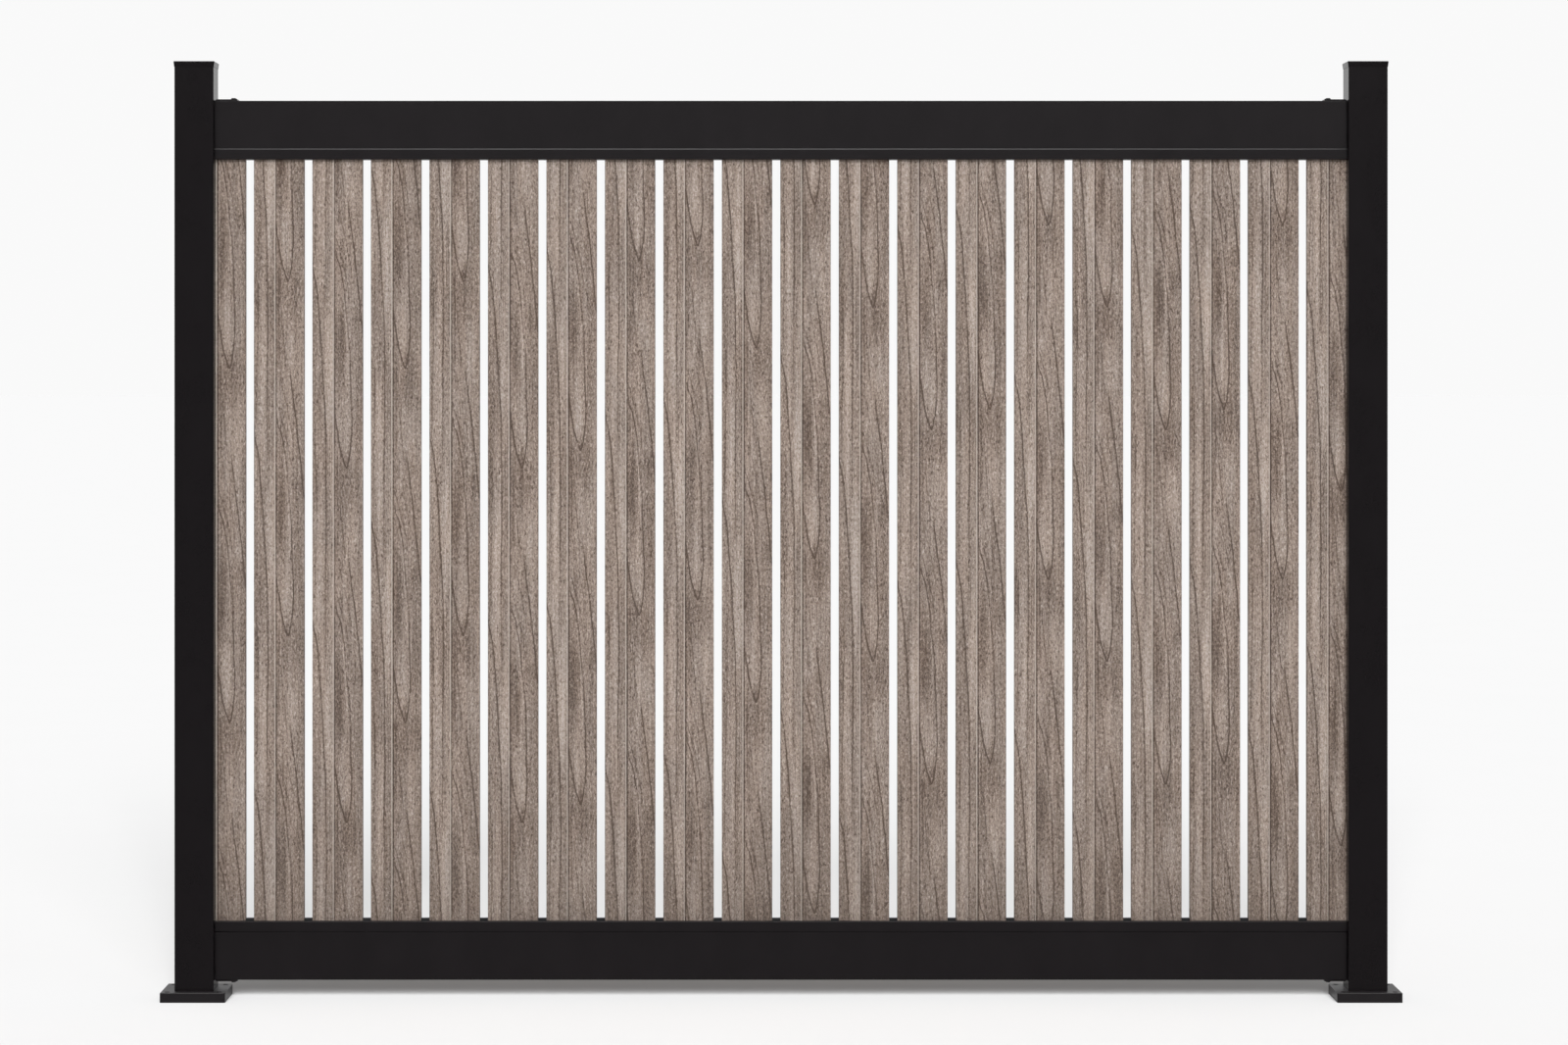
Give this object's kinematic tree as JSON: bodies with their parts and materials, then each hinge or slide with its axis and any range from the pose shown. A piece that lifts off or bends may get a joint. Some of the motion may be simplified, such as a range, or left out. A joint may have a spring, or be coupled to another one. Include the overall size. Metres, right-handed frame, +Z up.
{
  "type": "aluminium fence panel",
  "caption": "Fence panel of vertical hollow aluminium slats in grooved top and bottom rails, between square posts with flat caps on bolted base plates.",
  "frame": {"origin": "middle of the left base plate's underside, on the ground", "axes": "+X along the fence to the right post, +Y to the back of the fence, +Z up"},
  "size_m": [2.413, 0.127, 1.829],
  "materials": {
    "frame_powder_coat": "satin",
    "slat_film": "matte",
    "spacer_plastic": "matte"
  },
  "bodies": {
    "root": {"bottom_left_bracket": "frame_powder_coat", "bottom_rail": "frame_powder_coat", "bottom_right_bracket": "frame_powder_coat", "bottom_spacers": "spacer_plastic", "left_base_plate": "frame_powder_coat", "left_post": "frame_powder_coat", "left_post_cap": "frame_powder_coat", "right_base_plate": "frame_powder_coat", "right_post": "frame_powder_coat", "right_post_cap": "frame_powder_coat", "slat_01": "slat_film", "slat_02": "slat_film", "slat_03": "slat_film", "slat_04": "slat_film", "slat_05": "slat_film", "slat_06": "slat_film", "slat_07": "slat_film", "slat_08": "slat_film", "slat_09": "slat_film", "slat_10": "slat_film", "slat_11": "slat_film", "slat_12": "slat_film", "slat_13": "slat_film", "slat_14": "slat_film", "slat_15": "slat_film", "slat_16": "slat_film", "slat_17": "slat_film", "slat_18": "slat_film", "slat_19": "slat_film", "slat_20": "slat_film", "top_left_bracket": "frame_powder_coat", "top_rail": "frame_powder_coat", "top_right_bracket": "frame_powder_coat", "top_spacers": "spacer_plastic"}
  },
  "joints": []
}
